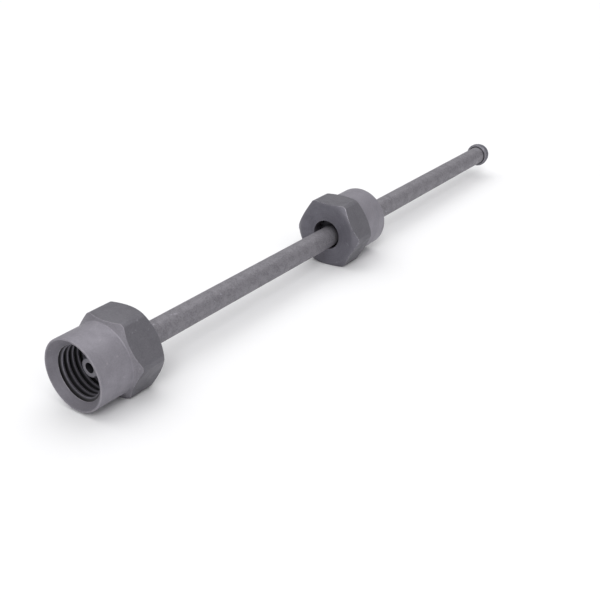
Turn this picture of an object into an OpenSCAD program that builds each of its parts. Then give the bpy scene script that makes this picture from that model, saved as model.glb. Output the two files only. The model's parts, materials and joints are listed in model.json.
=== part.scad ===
// High-pressure fuel pipe with formed sealing heads and loose union nuts.
// The pipe lies along X with the front end towards -X. The nuts rest on a flat
// of their hexagons at Z = 0. The origin is below the middle of the whole part.

/* [Pipe] */
// Length of the pipe from sealing nose to sealing nose
pipe_len = 198; // [150:1:400]
// Outer diameter of the pipe
pipe_od = 6; // [5:0.1:6.5]
// Bore of the pipe
pipe_bore = 2; // [1.2:0.1:2.4]

/* [Sealing heads] */
// Largest diameter of a formed head
head_od = 8; // [7.4:0.1:8.4]
// Length of a head from its shoulder to its nose
head_len = 4.6; // [3.8:0.1:6]
// Width of the straight band on the head, next to the shoulder
head_band = 0.9; // [0.4:0.1:1.4]
// Length of the bevel behind the band
shoulder_len = 0.5; // [0.3:0.1:0.8]
// How far the flank bulges between the band and the nose
flank_crown = 0.35; // [0.1:0.05:0.5]
// Diameter of the flat ring on the nose
nose_od = 4.5; // [4:0.1:5]
// Diameter of the countersink in the nose
nose_sink = 2.6; // [2.5:0.1:3.2]
// Depth of that countersink
sink_len = 1.2; // [0.3:0.1:2]

/* [Union nuts] */
// Width across the flats of the hexagon
hex_af = 19; // [17:0.5:24]
// Length of a nut
nut_len = 18.4; // [17:0.1:26]
// Wall of the round end outside the thread
round_wall = 1.9; // [1.3:0.1:2.3]
// Length of the round end
round_len = 9.2; // [6:0.1:11]
// How far the flat face of the hexagon end stays inside the flats
face_inset = 0.4; // [0.2:0.1:1.5]
// How much is turned off each corner of the hexagon
corner_cut = 0.32; // [0.1:0.01:0.5]
// Slope of the bevels at both ends of the hexagon, in degrees
bevel_slope = 38; // [20:1:45]
// Radius of the rounded edge around the mouth
mouth_round = 0.4; // [0.2:0.05:0.9]
// Width of the flat rim between that edge and the countersink
rim_width = 0.05; // [0.05:0.05:0.7]
// Thickness of the end wall that pushes on the thrust collar
end_wall = 3.4; // [2.5:0.1:5]

/* [Internal thread] */
// Nominal diameter of the thread
thread_d = 14; // [14:0.5:14.5]
// Pitch of the thread
thread_pitch = 1.5; // [1:0.25:1.5]
// Length of the threaded wall
thread_len = 7; // [5:0.1:9]
// Length of the plain groove behind the thread
relief_len = 1.8; // [1:0.1:2.5]
// Depth of that groove outside the thread
relief_depth = 0.15; // [0.1:0.05:0.4]

/* [Thrust collars] */
// Width of the collar's face that the nut pushes on
thrust_ledge = 0.7; // [0.6:0.1:0.9]
// Length of a thrust collar
collar_len = 3.6; // [3:0.1:4]
// Small bevel on the collar's edges
collar_bevel = 0.3; // [0.1:0.05:0.4]

/* [Places] */
// Depth of the front nose inside the mouth of the front nut
nose_depth = 4.8; // [2:0.1:6]
// Distance between the mouths of the two nuts
nut_spacing = 115.5; // [90:0.5:125]
// How far the pipe lies below the front nut's axis
front_drop = 0.4; // [0:0.05:1.05]
// How far the pipe lies below the rear nut's axis
rear_drop = 1.05; // [0:0.05:1.05]

/* [Clearances] */
// Radial gap between a formed head and the hole in its nut
head_gap = 0.3; // [0.2:0.05:0.6]
// Radial gap between a thrust collar and the pipe
collar_fit = 0.08; // [0.03:0.01:0.1]
// Gap between a thrust collar and the end wall of its nut
thrust_gap = 0.25; // [0.15:0.05:0.4]
// Radial gap below the lowest place of a thrust collar in its nut
pocket_gap = 0.25; // [0.2:0.05:0.4]

/* [Hidden] */

// smoothness of round surfaces and of the small arcs in the outlines
turn_fn = 96;
arc_steps = 10;
// overlap that keeps cuts from ending flush
cut = 1;

// the pipe, its heads and the conical seats that bear on them
pipe_r = pipe_od / 2;
bore_r = pipe_bore / 2;
head_r = head_od / 2;
nose_r = nose_od / 2;
hole_r = head_r + head_gap;
sink_r = nose_sink / 2;
head_back = head_len + shoulder_len;

// the thread as its plain bore at the minor diameter, and what lies around it
round_r = thread_d / 2 + round_wall;
thread_minor_r = (thread_d - 1.0825 * thread_pitch) / 2;
sink_mouth_r = round_r - mouth_round - rim_width;
sink_mouth_len = sink_mouth_r - thread_minor_r;
relief_r = thread_d / 2 + relief_depth;
collar_r = hole_r + thrust_ledge;
pocket_r = max(collar_r + max(front_drop, rear_drop) + pocket_gap, thread_minor_r);
thread_end = sink_mouth_len + thread_len;
relief_end = thread_end + relief_len;
wall_start = nut_len - end_wall;

// the hexagon and the two bevels that turn its corners off
hex_r = hex_af / 2 / cos(30);
corner_r = hex_r - corner_cut;
face_r = hex_af / 2 - face_inset;
bevel_r = hex_r + cut;
end_bevel = (bevel_r - face_r) * tan(bevel_slope);
step_bevel = (bevel_r - round_r) * tan(bevel_slope);

// places along X: the mouths of the nuts and the middles of the collars in them
total_len = nose_depth + pipe_len;
front_mouth = -total_len / 2;
rear_mouth = front_mouth + nut_spacing;
collar_depth = wall_start - thrust_gap - collar_len / 2;
front_collar_x = front_mouth + collar_depth;
rear_collar_x = rear_mouth - collar_depth;
nut_axis_z = hex_af / 2;

// the pipe tips a little, because its far end is the heavier one
tip_span = rear_collar_x - front_collar_x;
tip_angle = atan((rear_drop - front_drop) / tip_span);
nose_x = front_mouth + nose_depth;
collar_along = (front_collar_x - nose_x) / cos(tip_angle);
rear_collar_along = collar_along + tip_span / cos(tip_angle);

// a solid of revolution about +X from points [radius, distance along X]
module turned(points) {
    rotate([0, 90, 0])
        rotate_extrude($fn = turn_fn)
            polygon(points);
}

// turns its children end for end, from facing -X to facing +X
module facing_back() {
    rotate([0, 0, 180]) children();
}

// puts its children on the pipe's own axis, with the front nose at 0
module along_pipe(distance) {
    translate([front_collar_x, 0, nut_axis_z - front_drop])
        rotate([0, tip_angle, 0])
            translate([distance - collar_along, 0, 0])
                children();
}

// the domed flank of a sealing head, from its band to the ring on its nose
function head_flank() = [
    for (i = [0:arc_steps])
        let (t = i / arc_steps)
        [head_r + (nose_r - head_r) * t + flank_crown * sin(180 * t), (head_len - head_band) * (1 - t)]
];

// one end of the pipe, from the middle of its length to its nose at 0
function pipe_end(half) = concat(
    [[bore_r, half], [pipe_r, half], [pipe_r, head_back], [head_r, head_len]],
    head_flank(),
    [[sink_r, 0], [bore_r, sink_len]]
);

module half_pipe() {
    turned(pipe_end(pipe_len / 2));
}

module pipe() {
    color("dimgray")
        along_pipe(0)
            union() {
                half_pipe();
                translate([pipe_len, 0, 0]) facing_back() half_pipe();
            }
}

// the outside of a nut, with its mouth at 0 and its hexagon towards +X
module nut_outside() {
    hex_start = round_len;
    turned(concat(
        [[0, 0]],
        [for (i = [0:arc_steps])
            let (a = 90 * i / arc_steps)
            [round_r - mouth_round + mouth_round * sin(a), mouth_round - mouth_round * cos(a)]],
        [[round_r, hex_start + cut], [0, hex_start + cut]]
    ));
    intersection() {
        translate([hex_start, 0, 0])
            rotate([0, 90, 0])
                rotate([0, 0, 30])
                    cylinder(r = hex_r, h = nut_len - hex_start, $fn = 6);
        turned([[0, hex_start], [corner_r, hex_start], [corner_r, nut_len], [0, nut_len]]);
        turned([
            [0, hex_start],
            [round_r, hex_start],
            [bevel_r, hex_start + step_bevel],
            [bevel_r, nut_len - end_bevel],
            [face_r, nut_len],
            [0, nut_len]
        ]);
    }
}

// everything that is bored out of a nut: countersink, thread, relief, pocket, hole
module nut_inside() {
    turned([
        [0, -cut],
        [sink_mouth_r + cut, -cut],
        [thread_minor_r, sink_mouth_len],
        [thread_minor_r, thread_end],
        [relief_r, thread_end],
        [relief_r, relief_end],
        [pocket_r, relief_end],
        [pocket_r, wall_start],
        [hole_r, wall_start],
        [hole_r, nut_len + cut],
        [0, nut_len + cut]
    ]);
}

module union_nut() {
    color("gray")
        difference() {
            nut_outside();
            nut_inside();
        }
}

module front_nut() {
    translate([front_mouth, 0, nut_axis_z]) union_nut();
}

module rear_nut() {
    translate([rear_mouth, 0, nut_axis_z]) facing_back() union_nut();
}

// a thrust collar, centred on 0, with the seat for the head's shoulder towards -X
module thrust_collar() {
    inner_r = pipe_r + collar_fit;
    seat_len = shoulder_len * (head_r - inner_r) / (head_r - pipe_r);
    half = collar_len / 2;
    color("darkgray")
        turned([
            [inner_r, -half + seat_len],
            [head_r, -half],
            [collar_r - collar_bevel, -half],
            [collar_r, -half + collar_bevel],
            [collar_r, half - collar_bevel],
            [collar_r - collar_bevel, half],
            [inner_r, half]
        ]);
}

module front_thrust_collar() {
    along_pipe(collar_along) thrust_collar();
}

module rear_thrust_collar() {
    along_pipe(rear_collar_along) facing_back() thrust_collar();
}

pipe();
front_nut();
rear_nut();
front_thrust_collar();
rear_thrust_collar();
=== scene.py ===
import json
import math
import bpy
from mathutils import Matrix, Vector


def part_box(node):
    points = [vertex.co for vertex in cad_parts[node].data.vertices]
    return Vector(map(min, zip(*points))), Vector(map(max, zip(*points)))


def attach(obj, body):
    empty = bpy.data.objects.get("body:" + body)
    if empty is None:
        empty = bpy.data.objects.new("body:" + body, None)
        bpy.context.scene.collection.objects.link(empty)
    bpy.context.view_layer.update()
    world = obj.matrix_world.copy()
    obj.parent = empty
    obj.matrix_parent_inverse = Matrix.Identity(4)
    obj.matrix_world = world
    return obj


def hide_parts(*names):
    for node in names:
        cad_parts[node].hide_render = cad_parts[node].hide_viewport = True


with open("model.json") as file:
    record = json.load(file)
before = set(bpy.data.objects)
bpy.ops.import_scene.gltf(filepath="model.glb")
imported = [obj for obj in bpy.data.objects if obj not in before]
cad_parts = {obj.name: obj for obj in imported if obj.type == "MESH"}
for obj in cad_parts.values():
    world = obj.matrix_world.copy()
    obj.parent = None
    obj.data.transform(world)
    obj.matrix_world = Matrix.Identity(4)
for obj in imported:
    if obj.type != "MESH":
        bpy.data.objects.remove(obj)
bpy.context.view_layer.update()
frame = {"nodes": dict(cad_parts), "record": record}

mm = 0.001
sharpFrom = 24  # degrees; edges that turn more than this stay crisp
print("frame loaded:", len(frame["nodes"]), "nodes")


# places and main sizes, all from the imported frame
frontLow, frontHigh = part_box("front_nut")
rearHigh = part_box("rear_nut")[1]
nutLength = (frontHigh.x - frontLow.x) / mm
acrossFlats = (frontHigh.z - frontLow.z) / mm
acrossCorners = (frontHigh.y - frontLow.y) / mm
nutAxisZ = (frontLow.z + frontHigh.z) / 2
halfTurn = Matrix.Rotation(math.pi, 4, "Z")
frontNutPlace = Matrix.Translation((frontLow.x, 0, nutAxisZ))
rearNutPlace = Matrix.Translation((rearHigh.x, 0, nutAxisZ)) @ halfTurn

mounts = {mount["name"]: mount for mount in frame["record"]["mounts"]}
frontNose = Vector(mounts["front_seal"]["pos_m"])
rearNose = Vector(mounts["rear_seal"]["pos_m"])
pipeLine = rearNose - frontNose
pipeLength = pipeLine.length / mm
pipeTurn = Vector((1, 0, 0)).rotation_difference(pipeLine).to_matrix().to_4x4()
pipePlace = Matrix.Translation(frontNose) @ pipeTurn


# lathe work: outlines are lists of (along, radius), in mm
def softCorners(corners, steps=4):
    # each corner is (along, radius, rounding, finish); the finish is that of the face that starts there
    mostOfSide = 0.45  # two roundings never meet on a short side
    outline = []
    finishes = []
    for i, (x, r, rounding, finish) in enumerate(corners):
        here = Vector((x, r))
        toBefore = Vector(corners[i - 1][:2]) - here
        toAfter = Vector(corners[(i + 1) % len(corners)][:2]) - here
        start = here + toBefore.normalized() * min(rounding, toBefore.length * mostOfSide)
        end = here + toAfter.normalized() * min(rounding, toAfter.length * mostOfSide)
        for k in range(steps + 1):
            t = k / steps
            outline.append(start * (1 - t) ** 2 + here * 2 * t * (1 - t) + end * t ** 2)
            finishes.append(finish)
    return outline, finishes


def evenAngles(count):
    return [2 * math.pi * i / count for i in range(count)]


def turnedPiece(name, outlineAt, angles, finishList, place=Matrix.Identity(4)):
    # sweeps a closed outline once round the X axis; the outline may change with the angle
    vertices = []
    for angle in angles:
        outline, finishes = outlineAt(angle)
        for x, r in outline:
            vertices.append((x * mm, r * math.cos(angle) * mm, r * math.sin(angle) * mm))
    rings = len(finishes)
    faces = []
    faceFinish = []
    for i in range(len(angles)):
        for j in range(rings):
            nextAngle = (i + 1) % len(angles)
            nextRing = (j + 1) % rings
            faces.append((i * rings + j, nextAngle * rings + j,
                          nextAngle * rings + nextRing, i * rings + nextRing))
            faceFinish.append(finishes[j])
    mesh = bpy.data.meshes.new(name)
    mesh.from_pydata(vertices, [], faces)
    for finish in finishList:
        mesh.materials.append(finish)
    mesh.polygons.foreach_set("material_index", faceFinish)
    mesh.transform(place)
    piece = bpy.data.objects.new(name, mesh)
    bpy.context.scene.collection.objects.link(piece)
    smoothShade(piece)
    return piece


def smoothShade(piece):
    piece.data.shade_smooth()
    piece.data.set_sharp_from_angle(angle=math.radians(sharpFrom))


def asPlainMesh(piece):
    # turns the modifiers' result into the piece's own mesh
    graph = bpy.context.evaluated_depsgraph_get()
    result = bpy.data.meshes.new_from_object(piece.evaluated_get(graph))
    piece.modifiers.clear()
    piece.data = result
    return piece


# shader groups, shared by every look
def newGroup(name, inputs, outputs):
    group = bpy.data.node_groups.new(name, "ShaderNodeTree")
    for label, kind, value in inputs:
        socket = group.interface.new_socket(label, in_out="INPUT", socket_type=kind)
        if value is not None:
            socket.default_value = value
    for label, kind in outputs:
        group.interface.new_socket(label, in_out="OUTPUT", socket_type=kind)
    return group


def addNode(tree, kind, inputs=None, **settings):
    # inputs takes a value or another node's output socket for each input, by name or number
    node = tree.nodes.new(kind)
    for key, value in settings.items():
        setattr(node, key, value)
    for key, value in (inputs or {}).items():
        if isinstance(value, bpy.types.NodeSocket):
            tree.links.new(value, node.inputs[key])
        else:
            node.inputs[key].default_value = value
    return node


def ramp(tree, value, low, high, toLow=0.0, toHigh=1.0):
    return addNode(tree, "ShaderNodeMapRange", {
        "Value": value, "From Min": low, "From Max": high, "To Min": toLow, "To Max": toHigh,
    }, interpolation_type="SMOOTHSTEP").outputs["Result"]


def calc(tree, operation, first, second):
    return addNode(tree, "ShaderNodeMath", {0: first, 1: second}, operation=operation).outputs[0]


def axisDistance(tree, own):
    # how far a point lies from its piece's own X axis
    across = addNode(tree, "ShaderNodeCombineXYZ", {1: own.outputs[1], 2: own.outputs[2]})
    return addNode(tree, "ShaderNodeVectorMath", {0: across.outputs[0]}, operation="LENGTH").outputs["Value"]


def makeGrainGroup():
    # the phosphate coat: tiny crystals, with cloudy patches where the bath took unevenly
    group = newGroup("phosphateGrain", [
        ("Vector", "NodeSocketVector", None),
        ("Crystal Scale", "NodeSocketFloat", 3200.0),
        ("Patch Scale", "NodeSocketFloat", 260.0),
    ], [
        ("Crystals", "NodeSocketFloat"),
        ("Patches", "NodeSocketFloat"),
        ("Height", "NodeSocketFloat"),
    ])
    source = addNode(group, "NodeGroupInput")
    fine = addNode(group, "ShaderNodeTexNoise", {
        "Vector": source.outputs["Vector"], "Scale": source.outputs["Crystal Scale"],
        "Detail": 3.0, "Roughness": 0.65,
    })
    cells = addNode(group, "ShaderNodeTexVoronoi", {
        "Vector": source.outputs["Vector"], "Scale": source.outputs["Crystal Scale"],
    }, feature="SMOOTH_F1")
    cloud = addNode(group, "ShaderNodeTexNoise", {
        "Vector": source.outputs["Vector"], "Scale": source.outputs["Patch Scale"],
        "Detail": 4.0, "Roughness": 0.6, "Distortion": 0.4,
    })
    crystals = ramp(group, fine.outputs[0], 0.3, 0.7)
    patches = ramp(group, cloud.outputs[0], 0.3, 0.72)
    height = calc(group, "ADD", crystals, cells.outputs["Distance"])
    addNode(group, "NodeGroupOutput", {"Crystals": crystals, "Patches": patches, "Height": height})
    return group


def makeTurningGroup():
    # lathe feed marks: they follow the length and the radius alone, so they ring the axis on every face
    group = newGroup("turningMarks", [
        ("Own Vector", "NodeSocketVector", None),
        ("Marks Per Metre", "NodeSocketFloat", 5200.0),
        ("Wander", "NodeSocketFloat", 0.04),
    ], [
        ("Rings", "NodeSocketFloat"),
        ("Bands", "NodeSocketFloat"),
    ])
    source = addNode(group, "NodeGroupInput")
    own = addNode(group, "ShaderNodeSeparateXYZ", {0: source.outputs["Own Vector"]})
    waver = addNode(group, "ShaderNodeTexNoise", {
        "Vector": source.outputs["Own Vector"], "Scale": 120.0, "Detail": 1.0,
    })
    drift = calc(group, "MULTIPLY", waver.outputs[0], source.outputs["Wander"])
    spread = calc(group, "MULTIPLY", drift, mm)
    section = addNode(group, "ShaderNodeCombineXYZ", {
        0: calc(group, "ADD", own.outputs[0], spread),
        1: calc(group, "ADD", axisDistance(group, own), spread),
    })
    rings = addNode(group, "ShaderNodeTexNoise", {
        "Vector": section.outputs[0], "Scale": source.outputs["Marks Per Metre"],
        "Detail": 2.0, "Roughness": 0.7,
    })
    bandScale = calc(group, "MULTIPLY", source.outputs["Marks Per Metre"], 0.17)  # broader than the rings
    bands = addNode(group, "ShaderNodeTexNoise", {
        "Vector": section.outputs[0], "Scale": bandScale, "Detail": 2.0,
    })
    addNode(group, "NodeGroupOutput", {
        "Rings": ramp(group, rings.outputs[0], 0.3, 0.7),
        "Bands": ramp(group, bands.outputs[0], 0.3, 0.7),
    })
    return group


def makeWearAndHighlightGroup():
    # bright rubbed metal on outside edges, broken up so that it never runs as an even line; at a high amount
    # it also paints highlight lines along the edges
    group = newGroup("edgeWearAndHighlight", [
        ("Vector", "NodeSocketVector", None),
        ("Width", "NodeSocketFloat", 0.00025),
        ("Amount", "NodeSocketFloat", 0.5),
    ], [
        ("Mask", "NodeSocketFloat"),
    ])
    source = addNode(group, "NodeGroupInput")
    rounded = addNode(group, "ShaderNodeBevel", {"Radius": source.outputs["Width"]}, samples=6)
    surface = addNode(group, "ShaderNodeNewGeometry")
    lean = addNode(group, "ShaderNodeVectorMath", {
        0: rounded.outputs[0], 1: surface.outputs["Normal"],
    }, operation="DOT_PRODUCT")
    edge = ramp(group, lean.outputs["Value"], 0.998, 0.975)
    rub = addNode(group, "ShaderNodeTexNoise", {
        "Vector": source.outputs["Vector"], "Scale": 900.0, "Detail": 3.0,
    })
    broken = calc(group, "MULTIPLY", edge, ramp(group, rub.outputs[0], 0.32, 0.62))
    addNode(group, "NodeGroupOutput", {"Mask": calc(group, "MULTIPLY", broken, source.outputs["Amount"])})
    return group


def makeScratchGroup():
    # short light scratches that run mostly along the piece, from handling and packing
    group = newGroup("handlingScratches", [
        ("Own Vector", "NodeSocketVector", None),
        ("Scale", "NodeSocketFloat", 900.0),
        ("Lean", "NodeSocketFloat", 0.5),
    ], [
        ("Mask", "NodeSocketFloat"),
    ])
    source = addNode(group, "NodeGroupInput")
    masks = []
    for side in (1, -1):
        lean = calc(group, "MULTIPLY", source.outputs["Lean"], float(side))
        turn = addNode(group, "ShaderNodeCombineXYZ", {1: lean, 2: lean})
        turned = addNode(group, "ShaderNodeVectorRotate", {
            "Vector": source.outputs["Own Vector"], "Rotation": turn.outputs[0],
        }, rotation_type="EULER_XYZ")
        drawn = addNode(group, "ShaderNodeVectorMath", {
            0: turned.outputs[0], 1: (0.07, 1.0, 1.0),
        }, operation="MULTIPLY")
        lines = addNode(group, "ShaderNodeTexNoise", {
            "Vector": drawn.outputs[0], "Scale": source.outputs["Scale"], "Detail": 1.0,
        })
        masks.append(ramp(group, lines.outputs[0], 0.71, 0.78))
    where = addNode(group, "ShaderNodeTexNoise", {
        "Vector": source.outputs["Own Vector"], "Scale": 70.0, "Detail": 2.0,  # patches of scratches
    })
    both = calc(group, "MAXIMUM", masks[0], masks[1])
    addNode(group, "NodeGroupOutput", {
        "Mask": calc(group, "MULTIPLY", both, ramp(group, where.outputs[0], 0.42, 0.62)),
    })
    return group


def makeGrooveShadeGroup():
    # painted shade: the thread's grooves are painted dark beyond the crests that other parts rub, out to the
    # root radius, where shade falls
    group = newGroup("grooveShade", [
        ("Own Vector", "NodeSocketVector", None),
        ("Crest Radius", "NodeSocketFloat", 0.0062),
        ("Root Radius", "NodeSocketFloat", 0.0070),
    ], [
        ("Mask", "NodeSocketFloat"),
    ])
    source = addNode(group, "NodeGroupInput")
    own = addNode(group, "ShaderNodeSeparateXYZ", {0: source.outputs["Own Vector"]})
    crest = source.outputs["Crest Radius"]
    root = source.outputs["Root Radius"]
    addNode(group, "NodeGroupOutput", {"Mask": ramp(group, axisDistance(group, own), crest, root)})
    return group


grainGroup = makeGrainGroup()
turningGroup = makeTurningGroup()
wearAndHighlightGroup = makeWearAndHighlightGroup()
scratchGroup = makeScratchGroup()
grooveShadeGroup = makeGrooveShadeGroup()


def useGroup(tree, group, inputs):
    return addNode(tree, "ShaderNodeGroup", inputs, node_tree=group)


def blendColor(tree, factor, first, second):
    # the colour sockets of a Mix node are inputs 6 and 7 and output 2
    return addNode(tree, "ShaderNodeMix", {0: factor, 6: first, 7: second}, data_type="RGBA").outputs[2]


def steel(name, place, look):
    material = bpy.data.materials.new(name)
    material.use_nodes = True
    tree = material.node_tree
    shader = tree.nodes["Principled BSDF"]
    shader.inputs["Metallic"].default_value = look["metallic"]
    shader.inputs["Specular IOR Level"].default_value = look["specular"]

    objectPlace = addNode(tree, "ShaderNodeTexCoord").outputs["Object"]
    ownFrame = addNode(tree, "ShaderNodeMapping", {
        "Vector": objectPlace, "Location": place.to_translation(), "Rotation": place.to_euler(),
    }, vector_type="TEXTURE").outputs[0]
    grain = useGroup(tree, grainGroup, {
        "Vector": ownFrame, "Crystal Scale": look["crystalScale"], "Patch Scale": look["patchScale"],
    })
    marks = useGroup(tree, turningGroup, {"Own Vector": ownFrame, "Marks Per Metre": look["marksPerMetre"]})
    wearAndHighlight = useGroup(tree, wearAndHighlightGroup, {"Vector": ownFrame, "Width": look["wearAndHighlightWidth"], "Amount": look["wearAndHighlight"]})
    scratches = useGroup(tree, scratchGroup, {"Own Vector": ownFrame})

    patchMix = ramp(tree, grain.outputs["Patches"], 0.0, 1.0, 0.0, look["patchContrast"])
    color = blendColor(tree, patchMix, look["color"], look["patchColor"])
    crystalMix = ramp(tree, grain.outputs["Crystals"], 0.0, 1.0, 0.0, look["crystalContrast"])
    color = blendColor(tree, crystalMix, color, look["crystalColor"])
    ringMix = ramp(tree, marks.outputs["Rings"], 0.0, 1.0, 0.0, look["ringContrast"])
    color = blendColor(tree, ringMix, color, look["crystalColor"])
    scratchMix = calc(tree, "MULTIPLY", scratches.outputs["Mask"], look["scratches"])
    # rubbed edges and scratches take the bare colour; where a look asks for much of it, this is also painted
    # highlight
    bright = calc(tree, "MAXIMUM", wearAndHighlight.outputs["Mask"], scratchMix)
    color = blendColor(tree, bright, color, look["bareAndHighlightColor"])
    # painted shade laid into the thread's grooves by radius
    if "paintedGrooveShadeColor" in look:
        paintedGrooveShade = useGroup(tree, grooveShadeGroup, {
            "Own Vector": ownFrame, "Crest Radius": look["crestRadius"], "Root Radius": look["rootRadius"],
        })
        color = blendColor(tree, paintedGrooveShade.outputs["Mask"], color, look["paintedGrooveShadeColor"])
    tree.links.new(color, shader.inputs["Base Color"])

    rough = ramp(tree, grain.outputs["Patches"], 0.0, 1.0, look["roughLow"], look["roughHigh"])
    rough = calc(tree, "SUBTRACT", rough, calc(tree, "MULTIPLY", bright, look["rubbedGloss"]))
    tree.links.new(rough, shader.inputs["Roughness"])

    relief = calc(tree, "MULTIPLY", grain.outputs["Height"], look["grainHeight"] * mm)
    for label, height in (("Rings", "ringHeight"), ("Bands", "bandHeight")):
        raised = calc(tree, "MULTIPLY", marks.outputs[label], look[height] * mm)
        relief = calc(tree, "ADD", relief, raised)
    scored = calc(tree, "MULTIPLY", scratchMix, look["scratchDepth"] * mm)
    relief = calc(tree, "SUBTRACT", relief, scored)
    bump = addNode(tree, "ShaderNodeBump", {"Height": relief, "Strength": 1.0, "Distance": 1.0})
    tree.links.new(bump.outputs[0], shader.inputs["Normal"])
    return material


# what the looks share; each look adds its own colours
baseLook = {
    "bareAndHighlightColor": (0.400, 0.385, 0.429, 1),
    "metallic": 0.45,
    "specular": 0.45,
    "roughLow": 0.50,
    "roughHigh": 0.62,
    "rubbedGloss": 0.18,  # how much less rough the rubbed metal is
    "crystalScale": 3000.0,  # per metre
    "patchScale": 240.0,
    "patchContrast": 0.55,
    "crystalContrast": 0.35,
    "marksPerMetre": 5200.0,
    "ringContrast": 0.12,
    "wearAndHighlightWidth": 0.25 * mm,
    "wearAndHighlight": 0.4,
    "scratches": 0.25,
    "grainHeight": 0.010,  # mm
    "ringHeight": 0.003,
    "bandHeight": 0.006,
    "scratchDepth": 0.004,
}

roundEndLook = baseLook | {
    "color": (0.236, 0.226, 0.256, 1),
    "patchColor": (0.196, 0.187, 0.214, 1),
    "crystalColor": (0.292, 0.278, 0.312, 1),
    "bareAndHighlightColor": (0.460, 0.430, 0.455, 1),
    "grainHeight": 0.007,
}
hexFlatLook = baseLook | {
    "color": (0.138, 0.134, 0.151, 1),
    "patchColor": (0.112, 0.109, 0.124, 1),
    "crystalColor": (0.186, 0.180, 0.202, 1),
    "ringContrast": 0.0,
    "ringHeight": 0.0,
    "bandHeight": 0.0,
    "grainHeight": 0.012,
}
hexFaceLook = baseLook | {
    "color": (0.128, 0.124, 0.148, 1),
    "patchColor": (0.100, 0.097, 0.116, 1),
    "crystalColor": (0.170, 0.165, 0.192, 1),
    "ringContrast": 0.30,
    "ringHeight": 0.006,
    "bandHeight": 0.012,
    "marksPerMetre": 3600.0,
    "grainHeight": 0.006,
}
endBevelLook = hexFaceLook | {
    # painted light: the bevels are a little lighter than the face, and their full, wide edge mask in a light
    # bare colour paints highlight lines over the real edge wear
    "color": (0.142, 0.137, 0.160, 1),
    "patchColor": (0.112, 0.109, 0.129, 1),
    "bareAndHighlightColor": (0.520, 0.495, 0.530, 1),
    "wearAndHighlightWidth": 0.40 * mm,
    "wearAndHighlight": 1.0,
}
stepBevelLook = roundEndLook | {
    "color": (0.206, 0.197, 0.222, 1),
    "patchColor": (0.170, 0.163, 0.184, 1),
}
countersinkLook = roundEndLook | {
    "color": (0.172, 0.164, 0.188, 1),
    "patchColor": (0.146, 0.139, 0.160, 1),
    "crystalColor": (0.212, 0.202, 0.228, 1),
    "ringContrast": 0.20,
}
threadLook = baseLook | {
    "color": (0.150, 0.143, 0.168, 1),
    "patchColor": (0.110, 0.105, 0.125, 1),
    "crystalColor": (0.210, 0.200, 0.232, 1),
    "bareAndHighlightColor": (0.420, 0.400, 0.450, 1),
    "metallic": 0.60,
    "roughLow": 0.34,
    "roughHigh": 0.48,
    # the crests are lightened partly as rubbed metal and partly as painted highlight
    "wearAndHighlight": 0.75,
    "wearAndHighlightWidth": 0.10 * mm,
    "scratches": 0.0,
    "grainHeight": 0.005,
    # the painted shade colour of the grooves
    "paintedGrooveShadeColor": (0.030, 0.029, 0.032, 1),
    "crestRadius": 6.20 * mm,
    "rootRadius": 6.65 * mm,
}
# painted shade: near-black steel inside the pipe's bore and under the head's shoulder
borePaintedShadeLook = baseLook | {
    "color": (0.030, 0.029, 0.035, 1),
    "patchColor": (0.020, 0.020, 0.024, 1),
    "crystalColor": (0.045, 0.043, 0.051, 1),
    "bareAndHighlightColor": (0.420, 0.400, 0.450, 1),
    "metallic": 0.60,
    "roughLow": 0.34,
    "roughHigh": 0.48,
    "wearAndHighlight": 0.15,
    "wearAndHighlightWidth": 0.10 * mm,
    "scratches": 0.0,
    "grainHeight": 0.005,
}
pipeLook = baseLook | {
    "color": (0.200, 0.192, 0.212, 1),
    "patchColor": (0.146, 0.140, 0.157, 1),
    "crystalColor": (0.276, 0.266, 0.290, 1),
    "patchScale": 420.0,
    "patchContrast": 0.75,
    "crystalContrast": 0.50,
    "crystalScale": 2300.0,
    "ringContrast": 0.0,
    "ringHeight": 0.0,
    "bandHeight": 0.0,
    "scratches": 0.45,
    "grainHeight": 0.020,
}
# painted light: the nose ring and the shoulder are the head steel painted lighter
headPaintedLightLook = pipeLook | {
    "color": (0.225, 0.220, 0.252, 1),
    "ringContrast": 0.20,
    "ringHeight": 0.003,
    "grainHeight": 0.012,
    "wearAndHighlight": 0.6,
}
# painted shade: the dome and the band are the same head steel painted darker
flankPaintedShadeLook = headPaintedLightLook | {
    "color": (0.120, 0.119, 0.141, 1),
    "patchColor": (0.092, 0.091, 0.108, 1),
    "crystalColor": (0.165, 0.163, 0.190, 1),
}
collarLook = baseLook | {
    "color": (0.050, 0.049, 0.058, 1),
    "patchColor": (0.036, 0.035, 0.041, 1),
    "crystalColor": (0.078, 0.076, 0.089, 1),
    "bareAndHighlightColor": (0.160, 0.155, 0.176, 1),
    "ringContrast": 0.25,
    "ringHeight": 0.004,
}
print("shader groups ready")


nut = {
    "mouthDiameter": 17.8,
    "roundLength": 9.2,
    "mouthRounding": 0.38,
    "faceDiameter": 18.2,
    "bevelSlope": 38,
    "holeDiameter": 8.6,
    "endWall": 3.4,
    "countersink": 16.9,
    "threadDiameter": 14.0,
    "threadPitch": 1.5,
    "threadLength": 7.0,
    "threadLeadIn": 0.3,
    "reliefLength": 1.8,
    "reliefDepth": 0.15,  # beyond the thread's root
    "pocketDiameter": 12.6,
    "tapReach": 0.19,  # how far the tap reaches into the open bore
    "tapSteps": 96,  # per turn
    "cornerBlend": 0.025,
    "edgeBreak": 0.12,
    "faceRounding": 0.6,
    "flatRounding": 0.10,
    "stepRounding": 0.08,
    "stepRoot": 0.2,
    "rimRounding": 0.04,
    "threadRounding": 0.03,
    "reliefRounding": 0.12,
    "pocketRounding": 0.05,
    "wallRoot": 0.3,
    "degreesPerStep": 2.0,
    "cornerSteps": (-0.9, -0.45, 0.0, 0.5, 1.1),  # degrees from each end of a turned-down corner
}
roundEnd, hexFlat, hexFace, endBevel, stepBevel, countersink, bore = range(7)


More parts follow.
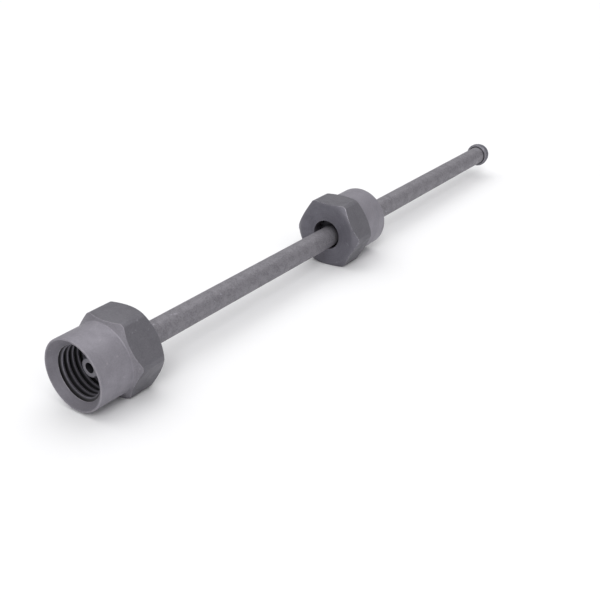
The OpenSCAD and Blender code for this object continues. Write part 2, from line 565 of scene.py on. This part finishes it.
def nutAngles():
    # even steps, with closer ones beside the six rounded corners
    capHalf = 30 - math.degrees(math.acos(acrossFlats / acrossCorners))
    step = nut["degreesPerStep"]
    degrees = [step * i for i in range(round(360 / step))]
    for corner in range(6):
        for nudge in nut["cornerSteps"]:
            offset = capHalf + nudge
            degrees.append((60 * corner + offset) % 360)
            degrees.append((60 * corner - offset) % 360)
    return [math.radians(angle) for angle in sorted(set(round(angle, 4) for angle in degrees))]


def hexRadius(angle):
    # a hexagon that lies on a flat, whose corners are turned down to the corner diameter
    fromFlat = (math.degrees(angle) % 60) - 30
    flat = acrossFlats / 2 / math.cos(math.radians(fromFlat))
    cap = acrossCorners / 2
    k = nut["cornerBlend"]
    return min(flat, cap) - k * math.log(1 + math.exp(-abs(flat - cap) / k))


def threadMinorRadius():
    # the basic minor diameter of a metric thread
    return (nut["threadDiameter"] - 1.0825 * nut["threadPitch"]) / 2


def nutOutline(angle):
    outer = hexRadius(angle)
    slope = math.tan(math.radians(nut["bevelSlope"]))
    mouthR = nut["mouthDiameter"] / 2
    faceR = nut["faceDiameter"] / 2
    holeR = nut["holeDiameter"] / 2
    sinkR = nut["countersink"] / 2
    minorR = threadMinorRadius()
    reliefR = nut["threadDiameter"] / 2 + nut["reliefDepth"]
    pocketR = nut["pocketDiameter"] / 2
    threadStart = sinkR - minorR
    threadEnd = threadStart + nut["threadLength"]
    reliefEnd = threadEnd + nut["reliefLength"]
    wallStart = nutLength - nut["endWall"]
    edge = nut["edgeBreak"]
    return softCorners([
        (nutLength, holeR, edge, hexFace),
        (nutLength, faceR, nut["faceRounding"], endBevel),
        (nutLength - (outer - faceR) * slope, outer, nut["flatRounding"], hexFlat),
        (nut["roundLength"] + (outer - mouthR) * slope, outer, nut["stepRounding"], stepBevel),
        (nut["roundLength"], mouthR, nut["stepRoot"], roundEnd),
        (0, mouthR, nut["mouthRounding"], roundEnd),
        (0, sinkR, nut["rimRounding"], countersink),
        (threadStart, minorR, nut["threadRounding"], bore),
        (threadEnd, minorR, nut["threadRounding"], bore),
        (threadEnd, reliefR, nut["reliefRounding"], bore),
        (reliefEnd, reliefR, nut["reliefRounding"], bore),
        (reliefEnd, pocketR, nut["pocketRounding"], bore),
        (wallStart, pocketR, nut["wallRoot"], bore),
        (wallStart, holeR, edge, bore),
    ])


def makeThreadTree(material):
    # the path of the tap: a helix round X with a V section, which is then cut from the bore
    tree = bpy.data.node_groups.new("tapPath", "GeometryNodeTree")
    for label, kind in (("Turns", "NodeSocketFloat"), ("Travel", "NodeSocketFloat"),
                        ("Middle Radius", "NodeSocketFloat"), ("Depth", "NodeSocketFloat"),
                        ("Root Width", "NodeSocketFloat"), ("Open Width", "NodeSocketFloat"),
                        ("Steps Per Turn", "NodeSocketInt"), ("Start", "NodeSocketFloat")):
        tree.interface.new_socket(label, in_out="INPUT", socket_type=kind)
    tree.interface.new_socket("Geometry", in_out="OUTPUT", socket_type="NodeSocketGeometry")
    source = addNode(tree, "NodeGroupInput")
    helix = addNode(tree, "GeometryNodeCurveSpiral", {
        "Resolution": source.outputs["Steps Per Turn"], "Rotations": source.outputs["Turns"],
        "Start Radius": source.outputs["Middle Radius"], "End Radius": source.outputs["Middle Radius"],
        "Height": source.outputs["Travel"], "Reverse": True,
    })
    upright = addNode(tree, "GeometryNodeSetCurveNormal", {0: helix.outputs[0]}, mode="Z_UP")
    section = addNode(tree, "GeometryNodeCurvePrimitiveQuadrilateral", {
        "Bottom Width": source.outputs["Open Width"], "Top Width": source.outputs["Root Width"],
        "Height": source.outputs["Depth"], "Offset": 0.0,
    }, mode="TRAPEZOID")
    outward = addNode(tree, "GeometryNodeTransform", {
        "Geometry": section.outputs[0], "Rotation": (0, 0, math.radians(-90)),
    })
    sweep = addNode(tree, "GeometryNodeCurveToMesh", {
        "Curve": upright.outputs[0], "Profile Curve": outward.outputs[0], "Fill Caps": True,
    })
    start = addNode(tree, "ShaderNodeCombineXYZ", {0: source.outputs["Start"]})
    along = addNode(tree, "GeometryNodeTransform", {
        "Geometry": sweep.outputs[0], "Translation": start.outputs[0], "Rotation": (0, math.radians(90), 0),
    })
    real = addNode(tree, "GeometryNodeRealizeInstances", {0: along.outputs[0]})
    finish = addNode(tree, "GeometryNodeSetMaterial", {"Geometry": real.outputs[0], "Material": material})
    addNode(tree, "NodeGroupOutput", {"Geometry": finish.outputs[0]})
    return tree


def setInputs(modifier, values):
    sockets = {item.name: item.identifier for item in modifier.node_group.interface.items_tree
               if item.in_out == "INPUT"}
    for label, value in values.items():
        modifier[sockets[label]] = value


def makeTap(name, material):
    pitch = nut["threadPitch"]
    rootR = nut["threadDiameter"] / 2
    minorR = threadMinorRadius()
    innerR = minorR - nut["tapReach"]
    flank = math.tan(math.radians(30))
    rootWidth = pitch / 8
    threadEnd = nut["countersink"] / 2 - minorR + nut["threadLength"]
    start = nut["threadLeadIn"]
    travel = threadEnd + nut["reliefLength"] / 2 - start
    tap = bpy.data.objects.new(name, bpy.data.meshes.new(name))
    bpy.context.scene.collection.objects.link(tap)
    modifier = tap.modifiers.new("tapPath", "NODES")
    modifier.node_group = makeThreadTree(material)
    setInputs(modifier, {
        "Turns": travel / pitch,
        "Travel": travel * mm,
        "Middle Radius": (rootR + innerR) / 2 * mm,
        "Depth": (rootR - innerR) * mm,
        "Root Width": rootWidth * mm,
        "Open Width": (rootWidth + 2 * (rootR - innerR) * flank) * mm,
        "Steps Per Turn": nut["tapSteps"],
        "Start": start * mm,
    })
    return asPlainMesh(tap)


def makeNut(name, node, body, place):
    finishes = [
        steel(name + "RoundEnd", place, roundEndLook),
        steel(name + "HexFlats", place, hexFlatLook),
        steel(name + "HexFace", place, hexFaceLook),
        steel(name + "EndBevels", place, endBevelLook),
        steel(name + "StepBevels", place, stepBevelLook),
        steel(name + "Countersink", place, countersinkLook),
        steel(name + "Bore", place, threadLook),
    ]
    piece = turnedPiece(name, nutOutline, nutAngles(), finishes)
    tap = makeTap(name + "Tap", finishes[bore])
    cut = piece.modifiers.new("thread", "BOOLEAN")
    cut.operation = "DIFFERENCE"
    cut.solver = "EXACT"
    cut.material_mode = "TRANSFER"
    cut.object = tap
    asPlainMesh(piece)
    bpy.data.objects.remove(tap)
    piece.data.transform(place)
    smoothShade(piece)
    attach(piece, body)
    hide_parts(node)
    print(name, len(piece.data.polygons), "faces,", [m.name for m in piece.data.materials])
    return piece


makeNut("frontUnionNut", "front_nut", "front_union", frontNutPlace)
makeNut("rearUnionNut", "rear_nut", "rear_union", rearNutPlace)


pipe = {
    "diameter": 6.0,
    "bore": 2.0,
    "headDiameter": 8.0,
    "headLength": 4.6,
    "band": 0.9,
    "shoulder": 0.5,
    "noseDiameter": 4.5,
    "noseSink": 2.6,
    "sinkLength": 1.2,
    "domeCrown": 0.35,
    "domeSteps": 14,
    "shoulderPaintedLightShare": 0.65,  # share of the shoulder painted lighter, as painted light; the rest, the undercut, is painted shade
    "sinkRounding": 0.1,
    "ringRounding": 0.06,
    "edgeRounding": 0.12,
    "domeRounding": 0.02,
    "bandRounding": 0.14,
    "tubeSteps": 60,
    "anglesPerTurn": 112,
}
tubeFinish, headPaintedLightFinish, flankPaintedShadeFinish, paintedShadeFinish = range(4)


def headCorners():
    # one end of the pipe from its bore, over the nose and the head, to the tube
    headR = pipe["headDiameter"] / 2
    noseR = pipe["noseDiameter"] / 2
    sinkR = pipe["noseSink"] / 2
    boreR = pipe["bore"] / 2
    domeLength = pipe["headLength"] - pipe["band"]
    shoulderDrop = headR - pipe["diameter"] / 2
    corners = [
        (pipe["sinkLength"], boreR, pipe["sinkRounding"], paintedShadeFinish),
        (0, sinkR, pipe["ringRounding"], headPaintedLightFinish),
        (0, noseR, pipe["edgeRounding"], flankPaintedShadeFinish),
    ]
    for i in range(1, pipe["domeSteps"]):
        t = 1 - i / pipe["domeSteps"]
        crown = pipe["domeCrown"] * math.sin(math.pi * t)
        flankR = headR + (noseR - headR) * t + crown
        corners.append((domeLength * (1 - t), flankR, pipe["domeRounding"], flankPaintedShadeFinish))
    shoulderStart = pipe["headLength"]
    light = pipe["shoulderPaintedLightShare"]
    corners += [
        (domeLength, headR, pipe["edgeRounding"], flankPaintedShadeFinish),
        (shoulderStart, headR, pipe["bandRounding"], headPaintedLightFinish),
        # painted shade: the undercut takes the near-black bore steel
        (shoulderStart + light * pipe["shoulder"], headR - light * shoulderDrop, 0, paintedShadeFinish),
        (shoulderStart + pipe["shoulder"], pipe["diameter"] / 2, pipe["edgeRounding"], tubeFinish),
    ]
    return corners


def pipeOutline(angle):
    # the far end is the near one mirrored; a face then starts at the corner where it ended
    near = headCorners()
    tubeStart = near[-1][0]
    tubeR = near[-1][1]
    steps = pipe["tubeSteps"]
    tube = []
    for i in range(1, steps):
        x = tubeStart + (pipeLength - 2 * tubeStart) * i / steps
        tube.append((x, tubeR, 0.0, tubeFinish))
    far = []
    for i in range(len(near) - 1, -1, -1):
        x, r, rounding, finish = near[i]
        far.append((pipeLength - x, r, rounding, near[i - 1][3]))
    far[-1] = far[-1][:3] + (paintedShadeFinish,)
    return softCorners(near + tube + far, 2)


pipeFinishes = [
    steel("pipeTube", pipePlace, pipeLook),
    steel("pipeHeadsPaintedLight", pipePlace, headPaintedLightLook),
    steel("pipeFlanksPaintedShade", pipePlace, flankPaintedShadeLook),
    steel("pipeBorePaintedShade", pipePlace, borePaintedShadeLook),
]
pipeAngles = evenAngles(pipe["anglesPerTurn"])
pipePiece = turnedPiece("fuelPipe", pipeOutline, pipeAngles, pipeFinishes, pipePlace)
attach(pipePiece, "pipe")
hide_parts("pipe")
print("pipe ready")


collar = {
    "diameter": 10.0,
    "length": 3.6,
    "bevel": 0.3,
    "hole": 6.16,
    "seatDiameter": 8.0,
    "seatLength": 0.46,
    "edgeRounding": 0.08,
    "seatRounding": 0.06,
    "holeRounding": 0.1,
    "anglesPerTurn": 112,
}


def collarOutline(angle):
    half = collar["length"] / 2
    outer = collar["diameter"] / 2
    bevelSize = collar["bevel"]
    holeR = collar["hole"] / 2
    edge = collar["edgeRounding"]
    return softCorners([
        (-half + collar["seatLength"], holeR, edge, 0),
        (-half, collar["seatDiameter"] / 2, collar["seatRounding"], 0),
        (-half, outer - bevelSize, edge, 0),
        (-half + bevelSize, outer, edge, 0),
        (half - bevelSize, outer, edge, 0),
        (half, outer - bevelSize, edge, 0),
        (half, holeR, collar["holeRounding"], 0),
    ], 3)


def makeCollar(name, node, body, facing):
    low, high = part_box(node)
    middle = (low + high) / 2
    along = (middle - frontNose).dot(pipeLine.normalized())
    place = pipePlace @ Matrix.Translation((along, 0, 0)) @ facing
    finishes = [steel(name + "Steel", place, collarLook)]
    piece = turnedPiece(name, collarOutline, evenAngles(collar["anglesPerTurn"]), finishes, place)
    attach(piece, body)
    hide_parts(node)
    return piece


makeCollar("frontThrustCollar", "front_thrust_collar", "front_collar", Matrix.Identity(4))
makeCollar("rearThrustCollar", "rear_thrust_collar", "rear_collar", halfTurn)
print("collars ready")


studio = {
    "floorSize": 60.0,  # metres, so that its edge stays out of low views
    "floorColor": (0.86, 0.86, 0.87, 1),
    "floorRoughness": 0.9,
    "skyColor": (1.0, 1.0, 1.0, 1),
    "skyStrength": 0.42,
}
lamps = [
    # name, direction that the light comes from, strength, how wide the soft source is in degrees
    ("overheadLight", (0.15, 0.25, 1.0), 1.6, 80),
    ("sideLight", (-0.20, -0.65, 0.75), 0.45, 40),
    ("frontLight", (-0.60, -0.38, 0.70), 0.9, 22),
]


def makeFloor():
    half = studio["floorSize"] / 2
    mesh = bpy.data.meshes.new("floor")
    corners = [(-half, -half, 0), (half, -half, 0), (half, half, 0), (-half, half, 0)]
    mesh.from_pydata(corners, [], [(0, 1, 2, 3)])
    floor = bpy.data.objects.new("floor", mesh)
    bpy.context.scene.collection.objects.link(floor)
    material = bpy.data.materials.new("floorPaper")
    material.use_nodes = True
    shader = material.node_tree.nodes["Principled BSDF"]
    shader.inputs["Base Color"].default_value = studio["floorColor"]
    shader.inputs["Roughness"].default_value = studio["floorRoughness"]
    mesh.materials.append(material)


def makeLamp(name, source, strength, width):
    lamp = bpy.data.lights.new(name, "SUN")
    lamp.energy = strength
    lamp.angle = math.radians(width)
    holder = bpy.data.objects.new(name, lamp)
    holder.rotation_euler = Vector(source).to_track_quat("Z", "Y").to_euler()
    bpy.context.scene.collection.objects.link(holder)


def makeWorld():
    world = bpy.data.worlds.new("studio")
    world.use_nodes = True
    background = world.node_tree.nodes["Background"]
    background.inputs["Color"].default_value = studio["skyColor"]
    background.inputs["Strength"].default_value = studio["skyStrength"]
    bpy.context.scene.world = world


makeFloor()
makeWorld()
for lamp in lamps:
    makeLamp(*lamp)

view = {
    "place": (-207.03 * mm, -135.11 * mm, 110.04 * mm),
    "heading": 35.482,  # degrees from +X towards +Y
    "down": 26.595,
    "lens": 53.87,
    "sensor": 36,
    "nearest": 0.005,
}
camera = bpy.data.cameras.new("camera")
camera.lens = view["lens"]
camera.sensor_width = view["sensor"]
camera.clip_start = view["nearest"]
cameraHolder = bpy.data.objects.new("camera", camera)
cameraHolder.location = view["place"]
cameraHolder.rotation_euler = (math.radians(90 - view["down"]), 0, math.radians(view["heading"] - 90))
bpy.context.scene.collection.objects.link(cameraHolder)
bpy.context.scene.camera = cameraHolder
bpy.context.scene.view_settings.view_transform = "Standard"
print("studio ready")
